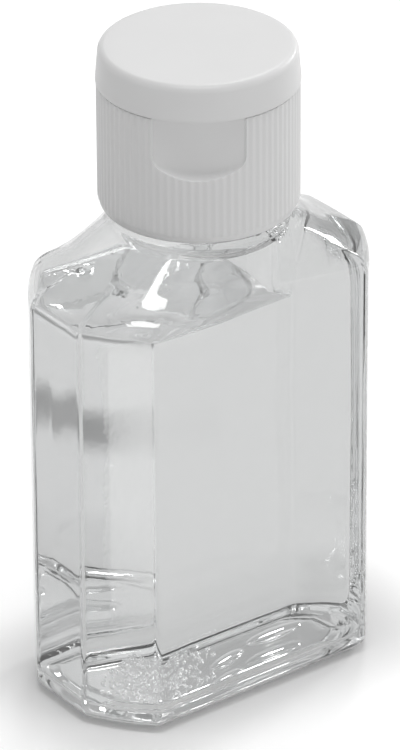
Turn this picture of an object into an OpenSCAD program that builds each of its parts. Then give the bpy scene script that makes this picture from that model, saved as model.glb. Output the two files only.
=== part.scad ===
// Pocket bottle of hand gel with a flip-top screw cap.
// Clear blown bottle, eight-sided in plan, filled with clear gel to the foot of its shoulder.
// White ribbed cap base that turns on the neck, with a smooth lid on a hinge web at its back.
// The wide front face looks along -Y, the bottle stands on z = 0, and +Z is up.

/* [Bottle body] */
// Width of the body, left to right
body_w = 43.7; // [40:0.1:56]
// Depth of the body, front to back
body_d = 25.2; // [24.8:0.1:32]
// What each corner chamfer takes off the width
corner_w = 5.8; // [4:0.1:8]
// What each corner chamfer takes off the depth
corner_d = 7.8; // [6:0.1:9]
// Rounding of the upright edges
edge_r = 1; // [0.4:0.1:2]
// Height of the straight walls, up to where the shoulder turns in
wall_h = 52.9; // [40:0.1:80]
// Rise of the shoulder, from the straight walls to the foot of the neck
shoulder_h = 8.4; // [7:0.1:12]
// Rounding between the walls and the shoulder
shoulder_r = 3.6; // [2:0.1:5]
// Rounding between the walls and the base
base_r = 2.5; // [1.5:0.1:4]
// Thickness of the walls
wall = 0.9; // [0.5:0.05:1.4]
// Thickness of the floor
floor_t = 1.1; // [0.8:0.1:2]
// Depth of the hollow under the floor
push_up = 0.8; // [0.3:0.1:2]
// Width of the flat rim that the bottle stands on
foot_w = 2; // [1:0.1:3]

/* [Gel] */
// Height of the gel over the top of the straight walls
fill_over = 0.6; // [-20:0.1:3]
// Gap between the gel and the inside of the bottle
gel_gap = 0.02; // [0.01:0.01:0.1]

/* [Neck] */
// Radius over the neck's threads
thread_r = 9.95; // [9:0.05:10.2]
// How far the threads stand out of the neck
thread_h = 0.75; // [0.4:0.05:1]
// Distance from one thread turn to the next
thread_pitch = 3.2; // [3:0.1:4]
// Height of one thread turn at its root
thread_w = 1.5; // [1:0.1:1.7]
// Number of thread turns
thread_turns = 2; // [1:1:3]
// Thickness of the neck's wall under the threads
neck_wall = 1.7; // [1.2:0.1:2.4]
// Width of the flat land round the foot of the neck, outside the threads
land_w = 1.05; // [0.5:0.05:1.6]

/* [Cap base] */
// Gap between the land and the lower edge of the cap base
skirt_gap = 1.9; // [0.6:0.1:3]
// Height of the cap base, from its lower edge to the joint under the lid
skirt_h = 16.1; // [14.5:0.1:20]
// Thickness of the skirt, out to the tops of its ribs
skirt_wall = 2.17; // [2:0.01:3]
// Number of ribs round the skirt
rib_count = 80; // [40:4:100]
// How far the ribs stand out
rib_h = 0.2; // [0.1:0.05:0.3]
// Plain band below the ribs
rib_foot = 0.8; // [0.4:0.1:2]
// Rounding of the skirt's lower edge
skirt_edge_r = 0.7; // [0.3:0.1:1]
// Thickness of the deck that closes the neck
deck_t = 1.6; // [1:0.1:2.5]
// Radius of the pouring spout
spout_r = 3.2; // [2.6:0.1:4.5]
// Height of the spout above the deck
spout_h = 1.9; // [1.3:0.1:2.4]
// Radius of the hole in the spout
hole_r = 1.55; // [1.2:0.05:2]
// Length of the ring under the deck that seals the neck
plug_h = 2; // [1:0.1:4]
// Thickness of that ring
plug_wall = 1; // [0.6:0.1:1.6]

/* [Thumb recess] */
// Depth of the flat cut in front, measured from the tops of the ribs
recess_depth = 1.35; // [0.8:0.05:1.5]
// Height of the recess below the lid
recess_h = 7.7; // [4:0.1:10]
// Radius of its curved lower edge
recess_curve_r = 10.6; // [7:0.1:16]

/* [Lid] */
// Height of the lid
lid_h = 4.5; // [4:0.1:6]
// How far the lid stands out over the ribs
lid_lip = 0.1; // [0:0.05:0.3]
// Rounding of the lid's top edge
lid_edge_r = 0.9; // [0.4:0.1:1.4]
// Thickness of the lid's top and side
lid_wall = 1.3; // [1.1:0.1:1.6]
// Gap between the lid and the cap base
lid_gap = 0.15; // [0.1:0.05:0.3]
// Height of the rim on the deck that centres the lid
rim_h = 0.7; // [0.4:0.1:1.2]
// Thickness of that rim
rim_wall = 0.9; // [0.6:0.1:1.4]
// How far the lid's pin reaches into the hole of the spout
pin_reach = 1.2; // [0.6:0.1:1.6]

/* [Hinge and fits] */
// Width of the hinge web
web_w = 6.5; // [4:0.1:7]
// Thickness of the hinge web
web_t = 0.35; // [0.25:0.05:0.5]
// Height of the web on each side of the joint
web_h = 2.2; // [1.5:0.1:3]
// Turn of the closed cap on the bottle, from its front facing -Y
cap_turn = -37; // [-180:1:180]
// Radial clearance of the cap on the threads and in the neck
turn_gap = 0.08; // [0.02:0.01:0.1]
// Clearance over the top edge of the neck
seat_gap = 0.1; // [0.05:0.01:0.2]
// Clearance between the lid and what it closes over
swing_gap = 0.3; // [0.25:0.05:0.5]

/* [Hidden] */
$fn = 96;

// Steps of each rounding in the body
round_steps = 4;
// Points along half an end face, along a chamfer and along half a wide face
flat_points = [1, 2, 4];
// How far the shoulder's rounding turns, in degrees, before the straight slope to the neck
shoulder_turn = 55;
// Overrun of cuts past the face that they open, and of ribs and rings into what carries them
over = 1;
bite = 0.2;
// Room round the hinge web in the flat behind it
web_margin = 0.3;

// Direction that a corner chamfer faces, from +X, and its distance from the bottle's axis
chamfer_a = atan2(corner_w, corner_d);
chamfer_r = body_w / 2 * cos(chamfer_a) + (body_d / 2 - corner_d) * sin(chamfer_a);

neck_z = wall_h + shoulder_h;
land_r = thread_r + land_w;
neck_r = thread_r - thread_h;
bore_r = neck_r - neck_wall;
gel_z = wall_h + fill_over;
floor_z = push_up + floor_t;

skirt_z = neck_z + skirt_gap;
joint_z = skirt_z + skirt_h;
deck_z = joint_z - deck_t;
neck_top = deck_z - seat_gap;
thread_z = neck_top - thread_pitch;
cap_bore_r = thread_r + turn_gap;
cap_r = cap_bore_r + skirt_wall;
core_r = cap_r - rib_h;

lid_r = cap_r + lid_lip;
lid_inner_r = lid_r - lid_wall;
lid_z = joint_z + lid_gap;
lid_top = lid_z + lid_h;
pin_z = joint_z + spout_h - pin_reach;

// The web lies on a flat across the back of the cap, and the hinge's axis on the web's outer face
flat_y = sqrt(pow(core_r, 2) - pow(web_w / 2 + web_margin, 2));

// Quarter of the body's plan, inset from its outer face, with no point on either axis
function quarter(inset) =
    let (in = inset + edge_r,
         x1 = body_w / 2 - in,
         y1 = (chamfer_r - in - x1 * cos(chamfer_a)) / sin(chamfer_a),
         y2 = body_d / 2 - in,
         x2 = (chamfer_r - in - y2 * sin(chamfer_a)) / cos(chamfer_a),
         side = edge_r * [cos(chamfer_a), sin(chamfer_a)],
         c1 = [x1, y1] + side,
         c2 = [x2, y2] + side)
    concat(
        [for (i = [0:flat_points[0] - 1]) [x1 + edge_r, y1 * (i + 0.5) / flat_points[0]]],
        [for (i = [0:round_steps]) arc_point([x1, y1], chamfer_a * i / round_steps)],
        [for (i = [1:flat_points[1]]) c1 + (c2 - c1) * i / (flat_points[1] + 1)],
        [for (i = [0:round_steps]) arc_point([x2, y2], chamfer_a + (90 - chamfer_a) * i / round_steps)],
        [for (i = [0:flat_points[2] - 1]) [x2 * (1 - (i + 0.5) / flat_points[2]), y2 + edge_r]]);

function arc_point(centre, a) = centre + edge_r * [cos(a), sin(a)];
function backwards(points) = [for (i = [len(points) - 1:-1:0]) points[i]];
function mirrored(points, sx, sy) = [for (p = points) [p[0] * sx, p[1] * sy]];

// Plan of the body, inset from its outer face
function plan(inset) =
    let (q = quarter(inset))
    concat(q, mirrored(backwards(q), -1, 1), mirrored(q, -1, -1), mirrored(backwards(q), 1, -1));

// Point p of a plan, moved by share towards the circle of radius r about the bottle's axis
function rounded(p, r, share) = p * (1 - share) + p / norm(p) * r * share;

function ring(points, z) = [for (p = points) [p[0], p[1], z]];

// Rings of the body's surface, t inside its outer face, from the base up to the foot of the neck
function body_rings(t) = concat(
    [for (i = [round_steps:-1:0]) let (a = 90 * i / round_steps, r = base_r - t)
        ring(plan(base_r - r * cos(a)), base_r - r * sin(a))],
    [for (i = [0:round_steps]) let (a = shoulder_turn * i / round_steps, r = shoulder_r - t)
        ring([for (p = plan(t)) rounded(p, land_r - t, r * (1 - cos(a)) / (body_w / 2 - land_r))],
             wall_h + r * sin(a))],
    [ring([for (p = plan(t)) rounded(p, land_r - t, 1)], neck_z - t / 2)]);

// Solid between rings that hold the same number of points, closed by a fan of triangles at each end
module loft(rings) {
    n = len(rings[0]);
    last = len(rings) - 1;
    low = len(rings) * n;
    high = low + 1;
    polyhedron(
        points = concat([for (r = rings) each r], [[0, 0, rings[0][0][2]], [0, 0, rings[last][0][2]]]),
        faces = concat(
            [for (j = [0:n - 1]) [j, (j + 1) % n, low]],
            [for (k = [0:last - 1], j = [0:n - 1]) let (a = k * n + j, b = k * n + (j + 1) % n)
                each [[a, a + n, b], [b, a + n, b + n]]],
            [for (j = [0:n - 1]) [last * n + (j + 1) % n, last * n + j, high]]));
}

module body_form(t) loft(body_rings(t));

// Half space above a height, as large as the bottle needs
module above(z) translate([-body_w, -body_d, z]) cube([2 * body_w, 2 * body_d, 2 * neck_z]);

// Half space below a height
module below(z) translate([-body_w, -body_d, z - 2 * neck_z]) cube([2 * body_w, 2 * body_d, 2 * neck_z]);

module tube(outer, inner, z, h)
    translate([0, 0, z]) difference() {
        cylinder(r = outer, h = h);
        translate([0, 0, -over]) cylinder(r = inner, h = h + 2 * over);
    }

// One turn of thread on a wall of radius r: side 1 stands outwards, side -1 inwards
module thread_ring(r, z, side)
    translate([0, 0, z]) rotate_extrude()
        polygon([[r - side * bite, -thread_w / 2], [r, -thread_w / 2],
                 [r + side * thread_h, -thread_w / 5], [r + side * thread_h, thread_w / 5],
                 [r, thread_w / 2], [r - side * bite, thread_w / 2]]);

module bottle() color("aliceblue", 0.5)
    difference() {
        union() {
            body_form(0);
            translate([0, 0, neck_z - bite]) cylinder(r = neck_r, h = neck_top - neck_z + bite);
            translate([0, 0, neck_z - bite]) cylinder(r1 = thread_r + bite, r2 = neck_r, h = thread_h + bite);
            for (i = [0:thread_turns - 1])
                thread_ring(neck_r, thread_z - i * thread_pitch, 1);
        }
        intersection() {
            body_form(wall);
            above(floor_z);
        }
        translate([0, 0, neck_z - shoulder_h / 2]) cylinder(r = bore_r, h = neck_top - neck_z + shoulder_h);
        translate([0, 0, -over]) linear_extrude(push_up + over) polygon(plan(base_r + foot_w));
    }

module gel() color("lightcyan", 0.5)
    intersection() {
        body_form(wall + gel_gap);
        above(floor_z + gel_gap);
        below(gel_z);
    }

// Everything on the cap is drawn with its front towards -Y and turned with this
module on_cap() rotate([0, 0, cap_turn]) children();

module web_half(z) translate([-web_w / 2, flat_y - bite, z]) cube([web_w, web_t + bite, web_h]);

// Cut that leaves a flat across the back of the cap
module back_cut(z, h) translate([-cap_r, flat_y, z]) cube([2 * cap_r, cap_r, h]);

// What a rounding of radius r about the origin takes off a square corner
module corner_cut(r)
    difference() {
        square(r + over);
        circle(r = r);
    }

module skirt_core()
    rotate_extrude() difference() {
        translate([0, skirt_z]) square([core_r, skirt_h]);
        translate([core_r - skirt_edge_r, skirt_z + skirt_edge_r]) mirror([0, 1]) corner_cut(skirt_edge_r);
    }

// Ribs with sloping sides, which grow out of the core
module ribs() {
    step = 360 / rib_count;
    corners = [[-0.35, core_r - bite / 2], [-0.14, cap_r], [0.14, cap_r], [0.35, core_r - bite / 2]];
    translate([0, 0, skirt_z + rib_foot]) linear_extrude(skirt_h - rib_foot)
        polygon([for (i = [0:rib_count - 1], c = corners)
            c[1] * [cos((i + c[0]) * step), sin((i + c[0]) * step)]]);
}

// Flat cut in front with a curved lower edge
module recess()
    intersection() {
        translate([0, 0, joint_z - recess_h + recess_curve_r]) rotate([90, 0, 0])
            cylinder(r = recess_curve_r, h = 2 * cap_r);
        translate([-cap_r, -cap_r - over, joint_z - recess_h - over])
            cube([2 * cap_r, recess_depth + over, recess_h + 2 * over]);
    }

module cap_base() color("white") on_cap()
    difference() {
        union() {
            difference() {
                union() {
                    skirt_core();
                    ribs();
                }
                recess();
                back_cut(joint_z - web_h - web_margin, web_h + web_margin + over);
                translate([0, 0, skirt_z - over]) cylinder(r = cap_bore_r, h = deck_z - skirt_z + over);
            }
            web_half(joint_z - web_h);
            translate([0, 0, joint_z - bite]) cylinder(r = spout_r, h = spout_h + bite);
            tube(lid_inner_r - swing_gap, lid_inner_r - swing_gap - rim_wall, joint_z - bite, rim_h + bite);
            tube(bore_r - turn_gap, bore_r - turn_gap - plug_wall, deck_z - plug_h, plug_h + bite);
            for (i = [0:thread_turns - 1])
                thread_ring(cap_bore_r, thread_z - (i + 0.5) * thread_pitch, -1);
        }
        translate([0, 0, deck_z - over]) cylinder(r = hole_r, h = deck_t + spout_h + 2 * over);
    }

module lid_shell()
    rotate_extrude() difference() {
        translate([0, lid_z]) square([lid_r, lid_h]);
        translate([0, lid_z - over]) square([lid_inner_r, lid_h - lid_wall + over]);
        translate([lid_r - lid_edge_r, lid_top - lid_edge_r]) corner_cut(lid_edge_r);
    }

module cap_lid() color("white") on_cap() {
    difference() {
        lid_shell();
        back_cut(lid_z - over, web_h + web_margin + over);
    }
    web_half(lid_z);
    translate([0, 0, pin_z]) cylinder(r = hole_r - swing_gap, h = lid_top - lid_wall - pin_z + bite);
}

bottle();
gel();
cap_base();
cap_lid();
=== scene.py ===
"""Pocket bottle of hand gel with a flip-top cap: its looks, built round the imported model.

Lengths are in millimetres until a mesh, a lamp or the camera is made. The wide front face looks along -Y.
"""
import math
import random

import bpy
import numpy as np
from mathutils import Matrix, Vector, noise


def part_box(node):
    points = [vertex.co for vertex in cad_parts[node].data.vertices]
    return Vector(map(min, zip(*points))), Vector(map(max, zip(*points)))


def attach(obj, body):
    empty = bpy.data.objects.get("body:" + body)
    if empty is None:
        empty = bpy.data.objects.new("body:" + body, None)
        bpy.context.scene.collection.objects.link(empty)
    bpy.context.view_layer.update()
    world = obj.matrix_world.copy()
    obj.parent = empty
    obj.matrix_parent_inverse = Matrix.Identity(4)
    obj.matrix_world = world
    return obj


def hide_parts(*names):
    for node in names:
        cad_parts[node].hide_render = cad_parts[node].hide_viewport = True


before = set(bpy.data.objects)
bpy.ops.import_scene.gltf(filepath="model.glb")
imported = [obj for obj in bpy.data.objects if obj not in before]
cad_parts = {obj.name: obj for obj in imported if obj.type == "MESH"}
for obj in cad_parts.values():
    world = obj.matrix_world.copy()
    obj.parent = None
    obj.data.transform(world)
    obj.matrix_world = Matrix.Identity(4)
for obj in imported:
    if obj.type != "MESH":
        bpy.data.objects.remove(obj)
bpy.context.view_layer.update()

MM = 0.001

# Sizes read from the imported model
bottle_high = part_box("bottle")[1] / MM
gel_low, gel_high = (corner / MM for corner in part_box("gel"))
cap_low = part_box("cap_base")[0] / MM
lid_low, lid_high = (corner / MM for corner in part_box("cap_lid"))
HALF_W = bottle_high.x
HALF_D = bottle_high.y
NECK_TOP = bottle_high.z
WALL = HALF_W - gel_high.x
GEL_Z = gel_high.z
FLOOR_Z = gel_low.z
SKIRT_Z = cap_low.z
LID_Z = lid_low.z
LID_TOP = lid_high.z
LID_R = -lid_low.x

# Body
CORNER_W = 5.8
CORNER_D = 7.8
EDGE_R = 1.0
CROWN = 0.32
BASE_R = 2.5
FOOT_W = 2.0
PUSH_UP = 0.8
WALL_H = 52.9
SHOULDER_R = 3.6
SHOULDER_TURN = math.radians(55)
SHOULDER_SOFT = 9.0
SHOULDER_BLEND = 0.45
CHAMFER_A = math.atan2(CORNER_W, CORNER_D)
CHAMFER_R = HALF_W * math.cos(CHAMFER_A) + (HALF_D - CORNER_D) * math.sin(CHAMFER_A)
GEL_GAP = 0.02

# Neck
NECK_Z = 61.3
NECK_R = 9.2
LAND_R = 11.0
BORE_R = 7.5
THREAD_H = 0.75
THREAD_W = 1.5
THREAD_PITCH = 3.2
THREAD_Z = NECK_TOP - THREAD_PITCH
# Section of a thread: heights in its width, and how far it stands out
THREAD_SHAPE = [(-0.55, 0), (-0.5, 0.05), (-0.2, 0.9), (-0.12, 1),
                (0.12, 1), (0.2, 0.9), (0.5, 0.05), (0.55, 0)]

# Cap
JOINT_Z = LID_Z - 0.15
CAP_R = LID_R - 0.1
CAP_BORE_R = 10.03
DECK_Z = NECK_TOP + 0.1
RIB_COUNT = 80
RIB_H = 0.2
RIB_SEEN = 0.11
RECESS_DEPTH = 1.35
RECESS_H = 7.5
RECESS_CURVE_R = 10.6
RECESS_CORNER = 0.9
RECESS_STEP = 0.3
SPOUT_R = 3.2
SPOUT_H = 1.9
HOLE_R = 1.55
PLUG_H = 2.0
PLUG_WALL = 1.0
TURN_GAP = 0.08
SWING_GAP = 0.3
RIM_H = 0.7
RIM_WALL = 0.9
LID_WALL = 1.3
LID_EDGE_R = 0.9
LID_DRAFT = 0.3
PIN_REACH = 1.2
WEB_W = 6.5
WEB_T = 0.35
WEB_H = 2.2
WEB_MARGIN = 0.3
FLAT_Y = math.sqrt((CAP_R - RIB_H) ** 2 - (WEB_W / 2 + WEB_MARGIN) ** 2)
CAP_TURN = math.radians(-37)
# The last rings of the cap base, from the deck's underside down the bore, which have the small painted glow
LIT_RINGS = 30

# Camera of the photograph, about the bottle's axis
CAMERA_TURN = 0.647
CAMERA_BACK = 697.7
CAMERA_UP = 420.35
CAMERA_TILT = 0.5
CAMERA_ROLL = -0.006
LENS = 313.5
SENSOR = 36


def smooth(t):
    """0 up to 1 with a soft start and end, for numbers and arrays."""
    t = np.clip(t, 0, 1)
    return t * t * (3 - 2 * t)


# Meshes

def quarter_plan(inset):
    """A quarter of the body's plan, from beside +X round to beside +Y."""
    back = inset + EDGE_R
    a = CHAMFER_A
    x1 = HALF_W - back
    y1 = (CHAMFER_R - back - x1 * math.cos(a)) / math.sin(a)
    y2 = HALF_D - back
    x2 = (CHAMFER_R - back - y2 * math.sin(a)) / math.cos(a)
    side = EDGE_R * np.array([math.cos(a), math.sin(a)])
    c1 = np.array([x1, y1]) + side
    c2 = np.array([x2, y2]) + side
    end = [(x1 + EDGE_R, y1 * (i + 0.5) / 8) for i in range(8)]
    arc1 = [(x1 + EDGE_R * math.cos(t), y1 + EDGE_R * math.sin(t)) for t in np.linspace(0, a, 9)]
    out = np.array([math.cos(a), math.sin(a)])
    chamfer = [tuple(c1 + (c2 - c1) * s + out * CROWN * 4 * s * (1 - s))
               for s in np.linspace(0, 1, 13)[1:-1]]
    arc2 = [(x2 + EDGE_R * math.cos(t), y2 + EDGE_R * math.sin(t)) for t in np.linspace(a, math.pi / 2, 9)]
    front = [(x2 * (1 - (i + 0.5) / 18), y2 + EDGE_R) for i in range(18)]
    return np.array(end + arc1 + chamfer + arc2 + front)


def plan(inset):
    """Points round the body, inset from its outer face, counterclockwise from beside +X."""
    q = quarter_plan(inset)
    return np.concatenate([q, q[::-1] * [-1, 1], q * [-1, -1], q[::-1] * [1, -1]])


def toward_circle(points, radius, share):
    """The points moved by share towards a circle about the bottle's axis."""
    length = np.linalg.norm(points, axis=1, keepdims=True)
    return points * (1 - share) + points / length * radius * share


def ring(points, z):
    return np.column_stack([points, np.broadcast_to(z, len(points))])


def skin(rings, slots=None):
    """Points, faces and material slots of a closed skin through rings of one length, seen from outside.

    slots gives the material slot of the band after each ring.
    """
    n = len(rings[0])
    points = [tuple(rings[0].mean(axis=0))]
    points += [tuple(p) for r in rings for p in r]
    points.append(tuple(rings[-1].mean(axis=0)))
    slots = slots or [0] * len(rings)
    last = 1 + (len(rings) - 1) * n
    faces, marks = [], []
    for j in range(n):
        k = (j + 1) % n
        faces.append((0, 1 + k, 1 + j))
        marks.append(slots[0])
        for i in range(len(rings) - 1):
            a, b = 1 + i * n + j, 1 + i * n + k
            faces.append((a, b, b + n, a + n))
            marks.append(slots[i])
        faces.append((last + j, last + k, len(points) - 1))
        marks.append(slots[-1])
    return points, faces, marks


def ball(centre, radii, turn=0.0, rings=8):
    """A hollow in the gel, round or flattened, whose faces look inwards."""
    turns = np.linspace(0, 2 * math.pi, 2 * rings, endpoint=False)
    x, y = radii[0] * np.cos(turns), radii[1] * np.sin(turns)
    c, s = math.cos(turn), math.sin(turn)
    circle = np.column_stack([x * c - y * s, x * s + y * c])
    levels = [math.pi * (i + 0.5) / rings - math.pi / 2 for i in range(rings)]
    stack = [ring(circle * math.cos(t), radii[2] * math.sin(t)) + np.array(centre) for t in levels]
    points, faces, marks = skin(stack)
    return points, [face[::-1] for face in faces], marks


def block(low, high):
    """A plain box with its faces outwards."""
    (x0, y0, z0), (x1, y1, z1) = low, high
    points = [(x, y, z) for z in (z0, z1) for y in (y0, y1) for x in (x0, x1)]
    faces = [(0, 2, 3, 1), (4, 5, 7, 6), (0, 1, 5, 4), (2, 6, 7, 3), (0, 4, 6, 2), (1, 3, 7, 5)]
    return points, faces, [0] * len(faces)


def piece(name, parts, materials, turn=0.0):
    """One object from several closed skins, in millimetres, turned about the bottle's axis."""
    points, faces, marks = [], [], []
    for part_points, part_faces, part_marks in parts:
        start = len(points)
        points += part_points
        faces += [tuple(start + i for i in face) for face in part_faces]
        marks += part_marks
    mesh = bpy.data.meshes.new(name)
    mesh.from_pydata([Vector(p) * MM for p in points], [], faces)
    mesh.transform(Matrix.Rotation(turn, 4, "Z"))
    for material in materials:
        mesh.materials.append(material)
    mesh.polygons.foreach_set("material_index", marks)
    mesh.polygons.foreach_set("use_smooth", [True] * len(faces))
    mesh.set_sharp_from_angle(angle=math.radians(40))
    mesh.validate()
    obj = bpy.data.objects.new(name, mesh)
    bpy.context.scene.collection.objects.link(obj)
    return obj


# Bottle

def wavy(rings, amount, seed):
    """The blown wall's slow waves: points moved towards the axis, fading at the base and shoulder."""
    moved = []
    for r in rings:
        fade = smooth((r[:, 2] - BASE_R) / 8) * smooth((WALL_H + 4 - r[:, 2]) / 6)
        w = np.array([noise.noise(Vector((p[0] / 9 + seed, p[1] / 9, p[2] / 14))) for p in r])
        w = np.clip(0.5 + w, 0, 1) * amount * fade
        out = r[:, :2] / np.linalg.norm(r[:, :2], axis=1, keepdims=True)
        moved.append(np.column_stack([r[:, :2] - out * w[:, None], r[:, 2]]))
    return moved


def round_plan(points, inset, power):
    """The eight-sided plan with edges as soft as the power is low, in the directions of the points."""
    turns = np.arctan2(points[:, 1], points[:, 0])
    total = np.zeros(len(turns))
    for face, reach in ((0, HALF_W), (90, HALF_D), (180, HALF_W), (270, HALF_D)):
        total += (np.clip(np.cos(turns - math.radians(face)), 0, 1) / (reach - inset)) ** power
    for face in (CHAMFER_A, math.pi - CHAMFER_A, math.pi + CHAMFER_A, -CHAMFER_A):
        total += (np.clip(np.cos(turns - face), 0, 1) / (CHAMFER_R - inset)) ** power
    return np.column_stack([np.cos(turns), np.sin(turns)]) * (total ** (-1 / power))[:, None]


def shoulder_rings(t, turns, slopes):
    """Rings of the shoulder, t inside its outer face, from the straight walls up to the land."""
    radius = SHOULDER_R - t
    walls = plan(t)
    soft = round_plan(walls, t, SHOULDER_SOFT)
    rings = []

    def level(share, z):
        w = smooth(share / SHOULDER_BLEND)
        return ring(toward_circle(walls * (1 - w) + soft * w, LAND_R - t, share), z)

    for a in np.linspace(0, SHOULDER_TURN, turns):
        share = radius * (1 - math.cos(a)) / (HALF_W - LAND_R)
        rings.append(level(share, WALL_H + radius * math.sin(a)))
    low_z, top_z = rings[-1][0, 2], NECK_Z - t / 2
    for s in np.linspace(0, 1, slopes + 1)[1:]:
        rings.append(level(share + (1 - share) * s, low_z + (top_z - low_z) * s))
    return rings


def circle_ring(radius, z):
    return ring(toward_circle(plan(0), radius, 1), z)


def underside_rings():
    """From the middle of the hollow under the floor out to the rim that the bottle stands on."""
    rim = plan(BASE_R + FOOT_W)
    rings = []
    for s in (0.02, 0.15, 0.3, 0.45, 0.6, 0.7, 0.78, 0.84, 0.88, 0.92, 0.96, 1):
        rings.append(ring(rim * s, PUSH_UP * (1 - smooth((s - 0.8) / 0.2))))
    return rings + [ring(plan(BASE_R + FOOT_W * s), 0) for s in (0.7, 0.35, 0.1)]


def outer_rings():
    """The bottle's outer surface, from under its floor up to the foot of the neck."""
    fillet = [ring(plan(BASE_R * (1 - math.cos(a))), BASE_R * (1 - math.sin(a)))
              for a in np.linspace(math.pi / 2, 0, 9)]
    walls = [ring(plan(0), z) for z in np.linspace(BASE_R, WALL_H, 30)[1:-1]]
    return wavy(underside_rings() + fillet + walls + shoulder_rings(0, 12, 12), 0.03, 3.1)


def neck_rings():
    """Foot of the neck, threads, sealing edge and the top of the bore."""
    rings = []
    for a in np.linspace(0, math.pi / 2, 7):
        rings.append(circle_ring(NECK_R + (LAND_R - NECK_R) * 0.75 * (1 - math.sin(a)),
                                 NECK_Z + THREAD_H * (1 - math.cos(a))))
    for z in (THREAD_Z - THREAD_PITCH, THREAD_Z):
        for dz, out in THREAD_SHAPE:
            rings.append(circle_ring(NECK_R + THREAD_H * out, z + THREAD_W * dz))
    lip = 0.3
    for a in np.linspace(0, math.pi / 2, 5):
        rings.append(circle_ring(NECK_R - lip * (1 - math.cos(a)), NECK_TOP - lip * (1 - math.sin(a))))
    for a in np.linspace(math.pi / 2, 0, 5):
        rings.append(circle_ring(BORE_R + lip * (1 - math.cos(a)), NECK_TOP - lip * (1 - math.sin(a))))
    return rings


def inner_stack():
    """Rings of the inside from the bore down to the foot of the straight walls, by falling height."""
    bore = [circle_ring(BORE_R, z) for z in (72, 68, 65, 63)]
    flare_top, flare_low = 62.4, NECK_Z - WALL * 0.75
    flare = []
    for a in np.linspace(0, math.pi / 2, 8):
        radius = BORE_R + (LAND_R - WALL - BORE_R) * 0.8 * (1 - math.cos(a))
        flare.append(circle_ring(radius, flare_top - (flare_top - flare_low) * math.sin(a)))
    shoulder = shoulder_rings(WALL, 12, 12)[::-1][1:]
    walls = [ring(plan(WALL), z) for z in np.linspace(WALL_H, BASE_R + 2, 30)[1:]]
    return bore + flare + shoulder + walls


def inner_at(stack, z):
    """Points of the inside at the heights z, one for each column."""
    heights = np.array([r[0, 2] for r in stack])[::-1]
    xy = np.array([r[:, :2] for r in stack])[::-1]
    k = np.clip(np.searchsorted(heights, z) - 1, 0, len(heights) - 2)
    s = np.clip((z - heights[k]) / (heights[k + 1] - heights[k]), 0, 1)[:, None]
    column = np.arange(xy.shape[1])
    return np.column_stack([xy[k, column] * (1 - s) + xy[k + 1, column] * s, z])


# Gel

# Lumps on the gel's surface: middle, half-lengths along and across, direction and height
LUMPS = [
    (-8.6, -7.0, 6.0, 3.6, -15, -0.85),
    (3.5, -7.0, 4.0, 2.2, -10, -0.6),
    (-15.0, -8.0, 2.4, 1.8, 40, 0.5),
    (-2.0, 4.0, 6.0, 2.5, 10, 0.35),
]
# The gel climbs the right of the bottle from here, in this width, by this height
CLIMB_X = 6.2
CLIMB_W = 3.2
CLIMB_H = 8.3
MENISCUS_H = 0.45
MENISCUS_W = 0.8

# Flat bubbles on the floor: middle, half-lengths, half-height and direction
FLAT_BUBBLES = [
    (-1.5, -3.0, 3.4, 1.5, 0.45, 28),
    (7.0, -0.6, 4.4, 2.0, 0.5, 2),
]
# A heap of small bubbles: how many, their least and greatest radius, and the heap's middle, half-lengths,
# cosine and sine of its direction, and height
HEAP_COUNT = 170
HEAP_RADII = (0.1, 0.36)
HEAP_MIDDLE = (-9.5, -1.0)
HEAP_HALF = (7.5, 3.2)
HEAP_TURN = (0.85, 0.53)
HEAP_H = 1.0


def gel_height(x, y):
    """Height of the gel's surface."""
    z = np.full_like(x, GEL_Z - 0.3)
    for cx, cy, length, width, turn, height in LUMPS:
        c, s = math.cos(math.radians(turn)), math.sin(math.radians(turn))
        along, across = (x - cx) * c + (y - cy) * s, (y - cy) * c - (x - cx) * s
        z = z + height * np.exp(-(along / length) ** 2 - (across / width) ** 2)
    side = CHAMFER_R - WALL - np.abs(x) * math.cos(CHAMFER_A) - np.abs(y) * math.sin(CHAMFER_A)
    wall = np.minimum(np.minimum(HALF_W - WALL - np.abs(x), HALF_D - WALL - np.abs(y)), side)
    z = z + MENISCUS_H * np.exp(-np.clip(wall, 0, None) / MENISCUS_W)
    return z + CLIMB_H * smooth((x - CLIMB_X + CLIMB_W / 2) / CLIMB_W)


def contact_heights(stack):
    """Height at which the gel meets the inside in each column, found from below."""
    found = np.full(len(stack[0]), np.nan)
    for z in np.arange(WALL_H - 4, NECK_Z + 4, 0.04):
        p = inner_at(stack, np.full(len(found), z))
        above = z >= gel_height(p[:, 0], p[:, 1])
        found = np.where(np.isnan(found) & above, z, found)
    return np.where(np.isnan(found), NECK_Z + 4, found)


def floor_rings(t):
    """The inside below the straight walls, t inside it, down to the middle of the floor."""
    radius = 2.2
    rings = []
    for a in np.linspace(0, math.pi / 2, 9):
        inset = WALL + t + (radius - t) * (1 - math.cos(a))
        rings.append(ring(plan(inset), FLOOR_Z + t + (radius - t) * (1 - math.sin(a))))
    edge = plan(WALL + radius)
    for s in (0.97, 0.9, 0.84, 0.76, 0.66, 0.5, 0.34, 0.18, 0.02):
        rings.append(ring(edge * s, FLOOR_Z + t))
    return rings


STACK = inner_stack()
CONTACT = contact_heights(STACK)
DRY_TOP = 66.0
WET_FOOT = 44.0
dry_rings = [inner_at(STACK, DRY_TOP + (CONTACT - DRY_TOP) * s) for s in np.linspace(0, 1, 60)]
wet_rings = [inner_at(STACK, CONTACT + (WET_FOOT - CONTACT) * s) for s in np.linspace(0, 1, 30)[1:]]
wall_rings = [inner_at(STACK, np.full(len(CONTACT), z)) for z in np.linspace(WET_FOOT, BASE_R + 2, 24)[1:]]
inner_walls = wavy(dry_rings + wet_rings + wall_rings, 0.12, 11.7)


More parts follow.
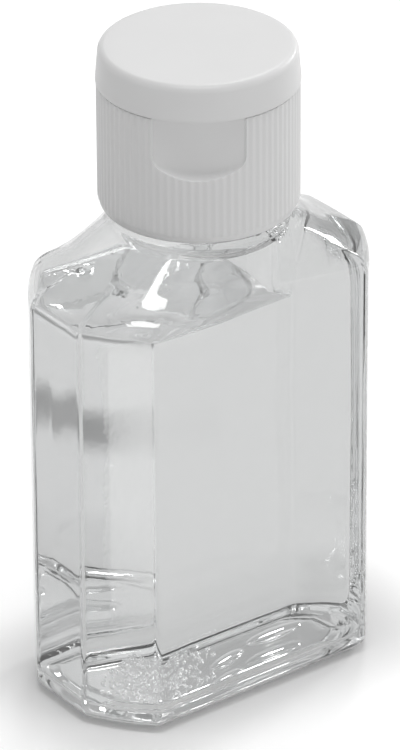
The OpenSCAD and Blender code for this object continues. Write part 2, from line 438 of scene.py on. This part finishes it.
def make_bottle():
    outside = outer_rings() + neck_rings()
    inside = inner_walls + floor_rings(0)
    slots = [0] * (len(outside) - 1) + [1] * len(dry_rings) + [2] * (len(inside) - len(dry_rings) + 1)
    materials = [pet_outside(), pet_inside(), pet_in_gel()]
    bottle = piece("bottle_clear", [skin(outside + inside, slots)], materials)
    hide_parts("bottle")
    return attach(bottle, "bottle")


def inset_rings(rings, first, amount):
    """The rings moved towards the axis by amount, after the first few, which keep the contact line."""
    moved = []
    for i, r in enumerate(rings):
        out = r[:, :2] / np.linalg.norm(r[:, :2], axis=1, keepdims=True)
        moved.append(np.column_stack([r[:, :2] - out * amount * min(1, i / first), r[:, 2]]))
    return moved


def make_gel():
    contact = inner_walls[len(dry_rings) - 1]
    top = []
    for s in np.linspace(0, 1, 61)[1:-1]:
        xy = contact[:, :2] * s
        z = gel_height(xy[:, 0], xy[:, 1])
        top.append(np.column_stack([xy, z]))
    sides = inset_rings(inner_walls[len(dry_rings) - 1:], 2, GEL_GAP)
    rings = top + sides + floor_rings(GEL_GAP)
    slots = [0] * len(top) + [1] * (len(rings) - len(top))
    points, faces, marks = skin(rings, slots)
    body = (points, [face[::-1] for face in faces], marks)
    rng = random.Random(7)
    bubbles = []
    for x, y, length, width, high, turn in FLAT_BUBBLES:
        middle = (x, y, FLOOR_Z + 0.3 + high)
        bubbles.append(ball(middle, (length, width, high), math.radians(turn), 16))
    c, s = HEAP_TURN
    for _ in range(HEAP_COUNT):
        radius = rng.uniform(*HEAP_RADII)
        along = rng.uniform(-HEAP_HALF[0], HEAP_HALF[0])
        across = rng.uniform(-HEAP_HALF[1], HEAP_HALF[1])
        x = HEAP_MIDDLE[0] + along * c - across * s
        y = HEAP_MIDDLE[1] + along * s + across * c
        centre = (x, y, FLOOR_Z + 0.15 + radius + rng.uniform(0, HEAP_H))
        bubbles.append(ball(centre, (radius, radius, radius)))
    gel = piece("gel_clear", [body] + bubbles, [gel_in_air(), gel_in_bottle()])
    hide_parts("gel")
    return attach(gel, "bottle")


# Cap, drawn with its front towards -Y and turned afterwards

def turned_ring(radii, z, turns):
    """Ring about the axis with a radius for each turn, measured from the cap's front."""
    return np.column_stack([radii * np.sin(turns), -radii * np.cos(turns), np.broadcast_to(z, len(turns))])


def cut_back(radii, turns, z, low):
    """The radii with the flat behind, where the web lies, above the height low."""
    facing = -np.cos(turns)
    flat = np.where(facing > 0.2, FLAT_Y / np.clip(facing, 0.2, 1), np.inf)
    return np.where(z > low, np.minimum(radii, flat), radii)


def rib_height(turns):
    """0 between the ribs and 1 on them."""
    return 0.5 + 0.5 * np.cos(turns * RIB_COUNT)


def skirt_rings(turns):
    """Outer wall of the cap base, from its lower edge up to the joint."""
    core = CAP_R - RIB_H
    edge = 0.7
    rings = []
    for a in np.linspace(0, math.pi / 2, 6):
        radii = np.full(len(turns), core - edge * (1 - math.sin(a)))
        rings.append(turned_ring(radii, SKIRT_Z + edge * (1 - math.cos(a)), turns))
    flat = (CAP_R - RECESS_DEPTH) / np.clip(np.cos(turns), 0.2, 1)
    half = math.sqrt(CAP_R ** 2 - (CAP_R - RECESS_DEPTH) ** 2)
    flat = np.where((np.cos(turns) > 0.2) & (flat * np.abs(np.sin(turns)) < half), flat, np.inf)
    step = np.where(flat < 99, RECESS_STEP * (flat * np.sin(turns) / half) ** 2, 0)

    def ledge(radii):
        x = np.clip(np.abs(radii * np.sin(turns)), 0, half)
        corner = np.clip(x - half + RECESS_CORNER, 0, RECESS_CORNER)
        rise = RECESS_CURVE_R - np.sqrt(RECESS_CURVE_R ** 2 - x ** 2)
        return JOINT_Z - RECESS_H + rise + RECESS_CORNER - np.sqrt(RECESS_CORNER ** 2 - corner ** 2)

    outside = core + RIB_H * (1 - (1 - rib_height(turns)) * RIB_SEEN / RIB_H)
    inside = np.minimum(outside, flat - step)
    for z, share in ((0.8, 0), (0.95, 0.3), (1.1, 0.8), (1.3, 1)):
        rings.append(turned_ring(core + (outside - core) * share, SKIRT_Z + z, turns))
    low = ledge(outside) - 0.3
    for s in np.linspace(0, 1, 12)[1:]:
        rings.append(turned_ring(outside, SKIRT_Z + 1.3 + (low - SKIRT_Z - 1.3) * s, turns))
    for share, dz in ((0, -0.1), (0.03, -0.03), (0.08, 0), (0.55, 0.03), (0.72, 0.1), (0.86, 0.24),
                      (0.95, 0.44), (1, 0.7)):
        radii = outside + (inside - outside) * share
        rings.append(turned_ring(radii, ledge(radii) + dz, turns))
    start = rings[-1][:, 2]
    back_low = JOINT_Z - WEB_H - WEB_MARGIN
    for s in np.linspace(0, 1, 9)[1:]:
        z = start + (back_low - 0.1 - start) * s
        rings.append(turned_ring(inside, z, turns))
    for dz in (-0.02, 0.02, 0.3, 0.8, 1.4, 2.0, WEB_H + WEB_MARGIN - 0.12):
        z = back_low + dz
        rings.append(turned_ring(cut_back(inside, turns, z, back_low), z, turns))
    rings.append(turned_ring(cut_back(inside, turns, JOINT_Z, back_low) - 0.03, JOINT_Z - 0.03, turns))
    rings.append(turned_ring(cut_back(inside, turns, JOINT_Z, back_low) - 0.12, JOINT_Z, turns))
    return rings


def cap_inside_profile():
    """Radius and height from the joint's edge over the deck, spout and plug, and down the bore."""
    rim_r = LID_R - LID_WALL - SWING_GAP
    plug_r = BORE_R - TURN_GAP
    top, deck = JOINT_Z, DECK_Z
    bevel = 0.12
    spout_z = top + SPOUT_H
    plug_in = plug_r - PLUG_WALL
    plug_z = deck - PLUG_H
    profile = [(rim_r + 0.05, top), (rim_r, top + 0.05), (rim_r, top + RIM_H - bevel),
               (rim_r - bevel, top + RIM_H), (rim_r - RIM_WALL + bevel, top + RIM_H),
               (rim_r - RIM_WALL, top + RIM_H - bevel), (rim_r - RIM_WALL, top + 0.1),
               (rim_r - RIM_WALL - 0.1, top), (SPOUT_R + 0.3, top), (SPOUT_R + 0.1, top + 0.1),
               (SPOUT_R, top + 0.3), (SPOUT_R, spout_z - 0.4), (SPOUT_R - 0.15, spout_z - 0.1),
               (SPOUT_R - 0.4, spout_z), (HOLE_R + 0.3, spout_z), (HOLE_R + 0.06, spout_z - 0.1),
               (HOLE_R, spout_z - 0.3), (HOLE_R, deck + 0.1), (HOLE_R + 0.1, deck), (plug_in - 0.1, deck),
               (plug_in, deck - 0.1), (plug_in, plug_z + 0.3), (plug_in + 0.3, plug_z),
               (plug_r - 0.3, plug_z), (plug_r, plug_z + 0.4), (plug_r, deck - 0.1), (plug_r + 0.1, deck),
               (CAP_BORE_R - 0.2, deck), (CAP_BORE_R, deck - 0.2)]
    for z in (THREAD_Z - THREAD_PITCH / 2, THREAD_Z - THREAD_PITCH * 1.5):
        for dz, out in THREAD_SHAPE[::-1]:
            profile.append((CAP_BORE_R - THREAD_H * out, z + THREAD_W * dz))
    profile += [(CAP_BORE_R, SKIRT_Z + 0.25), (CAP_BORE_R + 0.07, SKIRT_Z + 0.07)]
    return profile + [(CAP_BORE_R + 0.25, SKIRT_Z)]


def tube_skin(rings):
    """A closed skin through rings whose last one joins the first."""
    n = len(rings[0])
    points = [tuple(p) for r in rings for p in r]
    faces = []
    for i in range(len(rings)):
        a0, b0 = i * n, (i + 1) % len(rings) * n
        faces += [(a0 + j, a0 + (j + 1) % n, b0 + (j + 1) % n, b0 + j) for j in range(n)]
    return points, faces, [0] * len(faces)


def web_half(z0, z1):
    return block((-WEB_W / 2, FLAT_Y - 0.1, z0), (WEB_W / 2, FLAT_Y + WEB_T, z1))


def make_cap_base():
    turns = np.linspace(0, 2 * math.pi, RIB_COUNT * 8, endpoint=False)
    rings = skirt_rings(turns)
    rings += [turned_ring(np.full(len(turns), r), z, turns) for r, z in cap_inside_profile()]
    points, faces, marks = tube_skin(rings)
    # From this ring on, the bore has the painted glow, an emission standing in for light through the wall
    first_painted_glow_ring = len(rings) - LIT_RINGS
    marks = [int(i // len(turns) >= first_painted_glow_ring) for i in range(len(faces))]
    web = web_half(JOINT_Z - WEB_H, JOINT_Z)
    materials = [white_plastic("cap"), bore_painted_glow()]
    cap = piece("cap_base_white", [(points, faces, marks), web], materials, CAP_TURN)
    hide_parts("cap_base")
    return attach(cap, "cap")


def lid_profile():
    """Radius and height from the middle of the top over the edge, up the inside and down the pin."""
    inner = LID_R - LID_WALL
    ceiling = LID_TOP - LID_WALL
    pin_r = HOLE_R - SWING_GAP
    pin_z = JOINT_Z + SPOUT_H - PIN_REACH
    profile = [(r, LID_TOP) for r in (0.3, 2, 4, 6, 8, 9.5, 10.6)]
    edge_z = LID_TOP - LID_EDGE_R
    web_z = LID_Z + WEB_H + WEB_MARGIN
    profile += [(LID_R - LID_DRAFT - LID_EDGE_R * (1 - math.sin(a)), LID_TOP - LID_EDGE_R * (1 - math.cos(a)))
                for a in np.linspace(0, math.pi / 2, 12)]
    above = list(np.linspace(edge_z, web_z + 0.05, 4)[1:])
    for z in above + list(np.linspace(web_z - 0.02, LID_Z + 0.15, 8)):
        profile.append((LID_R - LID_DRAFT * (z - LID_Z) / (edge_z - LID_Z), z))
    profile += [(LID_R - 0.04, LID_Z + 0.04), (LID_R - 0.15, LID_Z), (inner + 0.15, LID_Z),
                (inner + 0.03, LID_Z + 0.05), (inner, LID_Z + 0.2), (inner, ceiling - 0.5),
                (inner - 0.15, ceiling - 0.15), (inner - 0.5, ceiling), (pin_r + 0.3, ceiling),
                (pin_r + 0.08, ceiling - 0.08), (pin_r, ceiling - 0.3), (pin_r, pin_z + 0.4),
                (pin_r - 0.12, pin_z + 0.12), (pin_r - 0.4, pin_z), (0.1, pin_z)]
    return profile


def make_lid():
    turns = np.linspace(0, 2 * math.pi, 288, endpoint=False)
    low, high = LID_Z - 1, LID_Z + WEB_H + WEB_MARGIN
    rings = []
    for radius, z in lid_profile()[::-1]:
        radii = np.full(len(turns), radius)
        if low < z < high:
            radii = cut_back(radii, turns, z, low)
        rings.append(turned_ring(radii, z, turns))
    web = web_half(LID_Z, LID_Z + WEB_H)
    lid = piece("cap_lid_white", [skin(rings), web], [white_plastic("lid")], CAP_TURN)
    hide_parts("cap_lid")
    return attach(lid, "lid")


# Materials

def new_material(name):
    material = bpy.data.materials.new(name)
    material.use_nodes = True
    tree = material.node_tree
    return material, tree, tree.nodes["Principled BSDF"]


def add_node(tree, kind, **inputs):
    node = tree.nodes.new(kind)
    for key, value in inputs.items():
        node.inputs[key].default_value = value
    return node


def add_bump(tree, shader, scale, strength, distance):
    """Fine unevenness of a surface, scale in features a metre."""
    where = add_node(tree, "ShaderNodeTexCoord")
    grain = add_node(tree, "ShaderNodeTexNoise", Scale=scale, Detail=3.0, Roughness=0.5)
    bump = add_node(tree, "ShaderNodeBump", Strength=strength, Distance=distance)
    tree.links.new(where.outputs["Object"], grain.inputs["Vector"])
    tree.links.new(grain.outputs["Fac"], bump.inputs["Height"])
    tree.links.new(bump.outputs["Normal"], shader.inputs["Normal"])
    return grain


def clear_material(name, ior, colour, scale, strength):
    material, tree, shader = new_material(name)
    shader.inputs["Transmission Weight"].default_value = 1.0
    shader.inputs["IOR"].default_value = ior
    shader.inputs["Roughness"].default_value = 0.0
    shader.inputs["Base Color"].default_value = colour
    add_bump(tree, shader, scale, strength, 0.0002)
    return material


PET_IOR = 1.575
GEL_IOR = 1.375
CLEAR = (0.995, 0.998, 0.998, 1)
# The outer face alone carries the tint, so that a ray that stays long inside isn't dulled at every turn. The
# tint's grey is painted shade, standing in for the shade of the floor and room that the bottle shows through
# it
SHADE_TINT = (0.6, 0.605, 0.605, 1)


# Painted light and shade on the outer face, whose tint is made lighter or darker at places where the clear
# plastic looks lighter or darker in the photograph, chosen and not measured as wall: middle, half sizes and
# turn of a box, how soft its sides are, and the tint
PAINTED_LIGHT_AND_SHADE_BOXES = [
    ((-0.01785, -0.01018, 0.035), (0.003, 0.002, 0.0192), CHAMFER_A - math.pi / 2, 0.13, 0.73),
    ((-0.0218, 0, 0.026), (0.0006, 0.0056, 0.029), 0, 0.1, 0.52),
    ((-0.0145, -0.004, 0.0585), (0.0105, 0.0105, 0.0062), 0, 0.5, 0.88),
    ((0.0178, -0.0025, 0.0588), (0.0088, 0.0105, 0.0066), 0, 0.6, 0.14),
    ((0.006, 0, 0.001), (0.018, 0.015, 0.0085), 0, 0.4, 0.46),
]


def soft_box(tree, middle, half_sizes, turn, soft):
    """1 inside a box, in metres, falling softly to 0 at its sides."""
    where = add_node(tree, "ShaderNodeTexCoord")
    shift = add_node(tree, "ShaderNodeMapping")
    shift.vector_type = "TEXTURE"
    shift.inputs["Location"].default_value = middle
    shift.inputs["Rotation"].default_value = (0, 0, turn)
    shift.inputs["Scale"].default_value = half_sizes
    tree.links.new(where.outputs["Object"], shift.inputs["Vector"])
    size = add_node(tree, "ShaderNodeVectorMath")
    size.operation = "ABSOLUTE"
    parts = add_node(tree, "ShaderNodeSeparateXYZ")
    tree.links.new(shift.outputs["Vector"], size.inputs[0])
    tree.links.new(size.outputs["Vector"], parts.inputs[0])
    inside = None
    for axis in ("X", "Y", "Z"):
        edge = add_node(tree, "ShaderNodeMapRange")
        edge.interpolation_type = "SMOOTHSTEP"
        edge.inputs["From Min"].default_value = 1.0
        edge.inputs["From Max"].default_value = 1.0 - soft
        tree.links.new(parts.outputs[axis], edge.inputs["Value"])
        if inside is None:
            inside = edge.outputs["Result"]
            continue
        both = add_node(tree, "ShaderNodeMath")
        both.operation = "MULTIPLY"
        tree.links.new(inside, both.inputs[0])
        tree.links.new(edge.outputs["Result"], both.inputs[1])
        inside = both.outputs[0]
    return inside


def pet_outside():
    material = clear_material("clear_pet", PET_IOR, SHADE_TINT, 260, 0.05)
    tree = material.node_tree
    colour = add_node(tree, "ShaderNodeRGB")
    colour.outputs[0].default_value = SHADE_TINT
    tint = colour.outputs[0]
    # Painted light and shade: inside each box the outer face's tint is lighter or darker
    for middle, half_sizes, turn, soft, other in PAINTED_LIGHT_AND_SHADE_BOXES:
        mix = add_node(tree, "ShaderNodeMixRGB", Color2=(other, other + 0.005, other + 0.005, 1))
        tree.links.new(soft_box(tree, middle, half_sizes, turn, soft), mix.inputs["Fac"])
        tree.links.new(tint, mix.inputs["Color1"])
        tint = mix.outputs["Color"]
    tree.links.new(tint, tree.nodes["Principled BSDF"].inputs["Base Color"])
    return material


def pet_inside():
    return clear_material("clear_pet_inside", PET_IOR, CLEAR, 260, 0.05)


def pet_in_gel():
    """The bottle's inner face where the gel wets it: light only meets the step between the two."""
    return clear_material("clear_pet_wet", PET_IOR / GEL_IOR, CLEAR, 200, 0.05)


def gel_in_air():
    return clear_material("clear_gel", GEL_IOR, CLEAR, 220, 0.08)


def gel_in_bottle():
    """The gel's face on the wall, which has no light of its own: the wall's inner face bends the rays."""
    material, tree, shader = new_material("clear_gel_on_wall")
    shader.inputs["Alpha"].default_value = 0.0
    shader.inputs["Base Color"].default_value = (0.94, 0.95, 0.95, 1)
    add_bump(tree, shader, 220, 0.02, 0.0002)
    return material


def white_plastic(name):
    """Satin moulded plastic with a faint cloudiness and a fine skin."""
    material, tree, shader = new_material("white_plastic_" + name)
    shader.inputs["Roughness"].default_value = 0.36
    shader.inputs["Subsurface Weight"].default_value = 0.12
    shader.inputs["Subsurface Radius"].default_value = (1.0, 1.0, 1.0)
    shader.inputs["Subsurface Scale"].default_value = 0.0006
    grain = add_bump(tree, shader, 2600, 0.05, 0.0001)
    where = add_node(tree, "ShaderNodeTexCoord")
    cloud = add_node(tree, "ShaderNodeTexNoise", Scale=90.0, Detail=2.0)
    ramp = add_node(tree, "ShaderNodeValToRGB")
    ramp.color_ramp.elements[0].color = (0.79, 0.79, 0.79, 1)
    ramp.color_ramp.elements[1].color = (0.83, 0.83, 0.83, 1)
    tree.links.new(where.outputs["Object"], cloud.inputs["Vector"])
    tree.links.new(cloud.outputs["Fac"], ramp.inputs["Fac"])
    tree.links.new(ramp.outputs["Color"], shader.inputs["Base Color"])
    return material


def bore_painted_glow():
    """The inside of the cap base, with a small painted glow, an emission that stands in for the light that
    the thin white wall lets in.
    """
    material, tree, shader = new_material("white_plastic_bore_painted_glow")
    shader.inputs["Base Color"].default_value = (0.8, 0.8, 0.8, 1)
    shader.inputs["Roughness"].default_value = 0.4
    shader.inputs["Emission Color"].default_value = (1, 1, 1, 1)
    shader.inputs["Emission Strength"].default_value = 0.42
    add_bump(tree, shader, 2600, 0.05, 0.0001)
    return material


# Stage, light and camera

# Glow of the seen floor beside the bottle, a little away from it and far away; the low glow beside the bottle
# paints a shadow round its foot
FLOOR_LIFT_IN_PAINTED_SHADOW = 0.12
FLOOR_LIFT_FAR = 0.34
FLOOR_LIFT_WIDE = 0.5
# Share of an even white in the floor as the bottle shows it
FLOOR_EVEN = 0.8
# Strength of the sky that lights the object, and how much more of it comes from the right
SKY_LIGHT = 0.47
SKY_RIGHT = 0.26
# Strength of the sky that is seen, low and high up behind
SKY_SEEN_LOW = 1.0
SKY_SEEN_HIGH = 0.6

def seen_directly(tree):
    """1 for camera, glossy and transmitted rays, 0 for the rays that light a dull surface."""
    path = add_node(tree, "ShaderNodeLightPath")
    first = add_node(tree, "ShaderNodeMath")
    second = add_node(tree, "ShaderNodeMath")
    unlit = add_node(tree, "ShaderNodeMath")
    third = add_node(tree, "ShaderNodeMath")
    first.operation = second.operation = "MAXIMUM"
    unlit.operation = "LESS_THAN"
    unlit.inputs[1].default_value = 0.5
    third.operation = "MULTIPLY"
    tree.links.new(path.outputs["Is Camera Ray"], first.inputs[0])
    tree.links.new(path.outputs["Is Glossy Ray"], first.inputs[1])
    tree.links.new(first.outputs[0], second.inputs[0])
    tree.links.new(path.outputs["Is Transmission Ray"], second.inputs[1])
    tree.links.new(path.outputs["Diffuse Depth"], unlit.inputs[0])
    tree.links.new(second.outputs[0], third.inputs[0])
    tree.links.new(unlit.outputs[0], third.inputs[1])
    return third.outputs[0]


def round_spot(tree, place, half_sizes):
    """1 at a place on the floor, in metres, falling softly to 0 at the half sizes."""
    where = add_node(tree, "ShaderNodeTexCoord")
    shift = add_node(tree, "ShaderNodeMapping")
    shift.vector_type = "TEXTURE"
    shift.inputs["Location"].default_value = place
    shift.inputs["Rotation"].default_value = (0, 0, -CAMERA_TURN - 0.4)
    shift.inputs["Scale"].default_value = half_sizes
    fall = add_node(tree, "ShaderNodeTexGradient")
    fall.gradient_type = "SPHERICAL"
    soft = add_node(tree, "ShaderNodeMapRange")
    soft.interpolation_type = "SMOOTHSTEP"
    soft.inputs["From Max"].default_value = 0.7
    tree.links.new(where.outputs["Object"], shift.inputs["Vector"])
    tree.links.new(shift.outputs["Vector"], fall.inputs["Vector"])
    tree.links.new(fall.outputs["Fac"], soft.inputs["Value"])
    return soft


def away_from_base(tree):
    """Distance on the floor from the foot of the bottle, in metres."""
    where = add_node(tree, "ShaderNodeTexCoord")
    at = where.outputs["Object"]
    for operation, other in (("ABSOLUTE", None), ("SUBTRACT", (0.0173, 0.008, 0)), ("MAXIMUM", (0, 0, 0))):
        step = add_node(tree, "ShaderNodeVectorMath")
        step.operation = operation
        if other:
            step.inputs[1].default_value = other
        tree.links.new(at, step.inputs[0])
        at = step.outputs["Vector"]
    length = add_node(tree, "ShaderNodeVectorMath")
    length.operation = "LENGTH"
    tree.links.new(at, length.inputs[0])
    return length.outputs["Value"]


def make_floor():
    """White floor, a little brighter away from the bottle, whose lower glow beside it is a painted shadow
    round its foot.

    Seen through the bottle it is nearly even, since no lamp's light is traced through the gel. A soft
    dark spot lies on it beyond the right edge of the picture, seen only through the bottle, whose left
    end shows it: painted shade, which gives that end a dark smudge.
    """
    half = 3.0
    mesh = bpy.data.meshes.new("floor")
    level = -0.02 * MM
    corners = [(-half, -half, level), (half, -half, level), (half, half, level), (-half, half, level)]
    mesh.from_pydata(corners, [], [(0, 1, 2, 3)])
    material, tree, shader = new_material("floor_white")
    shader.inputs["Base Color"].default_value = (0.93, 0.93, 0.93, 1)
    shader.inputs["Roughness"].default_value = 0.9
    shader.inputs["Specular IOR Level"].default_value = 0.0
    seen = seen_directly(tree)
    lift = add_node(tree, "ShaderNodeMath")
    lift.operation = "MULTIPLY"
    # Painted shadow: the seen floor's glow is lowest beside the bottle's foot and rises away from it
    far = add_node(tree, "ShaderNodeMapRange")
    far.interpolation_type = "SMOOTHSTEP"
    far.inputs["From Min"].default_value = 0.004
    far.inputs["From Max"].default_value = 0.016
    far.inputs["To Min"].default_value = FLOOR_LIFT_IN_PAINTED_SHADOW
    far.inputs["To Max"].default_value = FLOOR_LIFT_FAR
    wide = add_node(tree, "ShaderNodeMapRange")
    wide.interpolation_type = "SMOOTHSTEP"
    wide.inputs["From Min"].default_value = 0.1
    wide.inputs["From Max"].default_value = 0.8
    wide.inputs["To Max"].default_value = FLOOR_LIFT_WIDE
    total = add_node(tree, "ShaderNodeMath")
    distance = away_from_base(tree)
    tree.links.new(distance, far.inputs["Value"])
    tree.links.new(distance, wide.inputs["Value"])
    tree.links.new(far.outputs["Result"], total.inputs[0])
    tree.links.new(wide.outputs["Result"], total.inputs[1])
    tree.links.new(total.outputs[0], lift.inputs[1])
    tree.links.new(seen, lift.inputs[0])
    tree.links.new(lift.outputs[0], shader.inputs["Emission Strength"])
    shader.inputs["Emission Color"].default_value = (1, 1, 1, 1)
    even = add_node(tree, "ShaderNodeEmission", Strength=1.0)
    share = add_node(tree, "ShaderNodeMath")
    share.operation = "MULTIPLY"
    share.inputs[1].default_value = FLOOR_EVEN
    both = add_node(tree, "ShaderNodeMath")
    both.operation = "MULTIPLY"
    path = add_node(tree, "ShaderNodeLightPath")
    mix = add_node(tree, "ShaderNodeMixShader")
    tree.links.new(path.outputs["Is Transmission Ray"], both.inputs[0])
    tree.links.new(seen, both.inputs[1])
    tree.links.new(both.outputs[0], share.inputs[0])
    tree.links.new(share.outputs[0], mix.inputs["Fac"])
    tree.links.new(shader.outputs[0], mix.inputs[1])
    tree.links.new(even.outputs[0], mix.inputs[2])
    # Painted shade: a dark spot on the floor, seen only through the bottle, whose left end shows it as a dark
    # smudge
    spot = round_spot(tree, beside_camera(0.0585, 0.002, 0), (0.0085, 0.026, 1))
    spot.inputs["To Max"].default_value = 0.6
    dark = add_node(tree, "ShaderNodeBsdfDiffuse", Color=(0.04, 0.04, 0.04, 1))
    with_painted_shade = add_node(tree, "ShaderNodeMixShader")
    through = add_node(tree, "ShaderNodeMath")
    through.operation = "MULTIPLY"
    tree.links.new(spot.outputs["Result"], through.inputs[0])
    tree.links.new(both.outputs[0], through.inputs[1])
    tree.links.new(through.outputs[0], with_painted_shade.inputs["Fac"])
    tree.links.new(mix.outputs[0], with_painted_shade.inputs[1])
    tree.links.new(dark.outputs[0], with_painted_shade.inputs[2])
    tree.links.new(with_painted_shade.outputs[0], tree.nodes["Material Output"].inputs["Surface"])
    mesh.materials.append(material)
    floor = bpy.data.objects.new("floor", mesh)
    bpy.context.scene.collection.objects.link(floor)


def make_world():
    """The seen sky is white, and duller high up behind the bottle.

    The light on the object comes from another one, even and soft, a little stronger from the right.
    """
    world = bpy.data.worlds.new("studio")
    world.use_nodes = True
    tree = world.node_tree
    tree.nodes.clear()
    where = add_node(tree, "ShaderNodeTexCoord")
    behind = add_node(tree, "ShaderNodeVectorMath")
    behind.operation = "DOT_PRODUCT"
    behind.inputs[1].default_value = beside_camera(0, 0.3, 0.954)
    height = add_node(tree, "ShaderNodeMapRange")
    height.interpolation_type = "SMOOTHSTEP"
    height.inputs["From Min"].default_value = 0.5
    height.inputs["From Max"].default_value = 0.8
    height.inputs["To Min"].default_value = SKY_SEEN_LOW
    height.inputs["To Max"].default_value = SKY_SEEN_HIGH
    seen = add_node(tree, "ShaderNodeBackground")
    light = add_node(tree, "ShaderNodeBackground")
    light.inputs["Color"].default_value = (1, 1, 1, 1)
    side = add_node(tree, "ShaderNodeVectorMath")
    side.operation = "DOT_PRODUCT"
    side.inputs[1].default_value = beside_camera(SKY_RIGHT, 0, 0)
    level = add_node(tree, "ShaderNodeMath")
    level.inputs[1].default_value = SKY_LIGHT
    tree.links.new(where.outputs["Generated"], side.inputs[0])
    tree.links.new(side.outputs["Value"], level.inputs[0])
    tree.links.new(level.outputs[0], light.inputs["Strength"])
    mix = add_node(tree, "ShaderNodeMixShader")
    out = add_node(tree, "ShaderNodeOutputWorld")
    tree.links.new(where.outputs["Generated"], behind.inputs[0])
    tree.links.new(behind.outputs["Value"], height.inputs["Value"])
    tree.links.new(height.outputs["Result"], seen.inputs["Strength"])
    seen.inputs["Color"].default_value = (1, 1, 1, 1)
    tree.links.new(seen_directly(tree), mix.inputs["Fac"])
    tree.links.new(light.outputs[0], mix.inputs[1])
    tree.links.new(seen.outputs[0], mix.inputs[2])
    tree.links.new(mix.outputs[0], out.inputs["Surface"])
    bpy.context.scene.world = world


def make_lamp(name, place, target, width, height, watts):
    data = bpy.data.lights.new(name, "AREA")
    data.shape = "RECTANGLE"
    data.size, data.size_y = width, height
    data.energy = watts
    lamp = bpy.data.objects.new(name, data)
    lamp.location = place
    lamp.rotation_euler = (Vector(target) - Vector(place)).to_track_quat("-Z", "Y").to_euler()
    bpy.context.scene.collection.objects.link(lamp)


def beside_camera(right, back, up):
    """A place in metres, measured to the photograph's right, away from its camera and up."""
    c, s = math.cos(CAMERA_TURN), math.sin(CAMERA_TURN)
    return Vector((right * c + back * s, -right * s + back * c, up))


def make_lights():
    middle = (0, 0, 0.045)
    make_lamp("lamp_top", beside_camera(-0.02, -0.12, 0.95), middle, 0.46, 0.2, 2.3)
    make_lamp("lamp_back", beside_camera(0.12, 0.75, 0.75), middle, 0.18, 0.16, 1.2)
    make_lamp("lamp_back_right", beside_camera(0.55, 0.65, 0.4), middle, 0.16, 0.16, 1.3)


def make_camera():
    data = bpy.data.cameras.new("camera")
    data.sensor_fit = "VERTICAL"
    data.sensor_height = SENSOR
    data.lens = LENS
    data.clip_start, data.clip_end = 0.01, 20
    camera = bpy.data.objects.new("camera", data)
    place = beside_camera(0, -CAMERA_BACK * MM, CAMERA_UP * MM)
    turn = Matrix.Rotation(-CAMERA_TURN, 4, "Z") @ Matrix.Rotation(math.pi / 2 - CAMERA_TILT, 4, "X")
    camera.matrix_world = Matrix.Translation(place) @ turn @ Matrix.Rotation(CAMERA_ROLL, 4, "Z")
    bpy.context.scene.collection.objects.link(camera)
    bpy.context.scene.camera = camera


bpy.context.scene.view_settings.view_transform = "Standard"
bpy.context.scene.cycles.max_bounces = 64
bpy.context.scene.cycles.transmission_bounces = 64
bpy.context.scene.cycles.glossy_bounces = 16
bpy.context.scene.cycles.transparent_max_bounces = 32
make_bottle()
make_gel()
make_cap_base()
make_lid()
make_floor()
make_world()
make_lights()
make_camera()
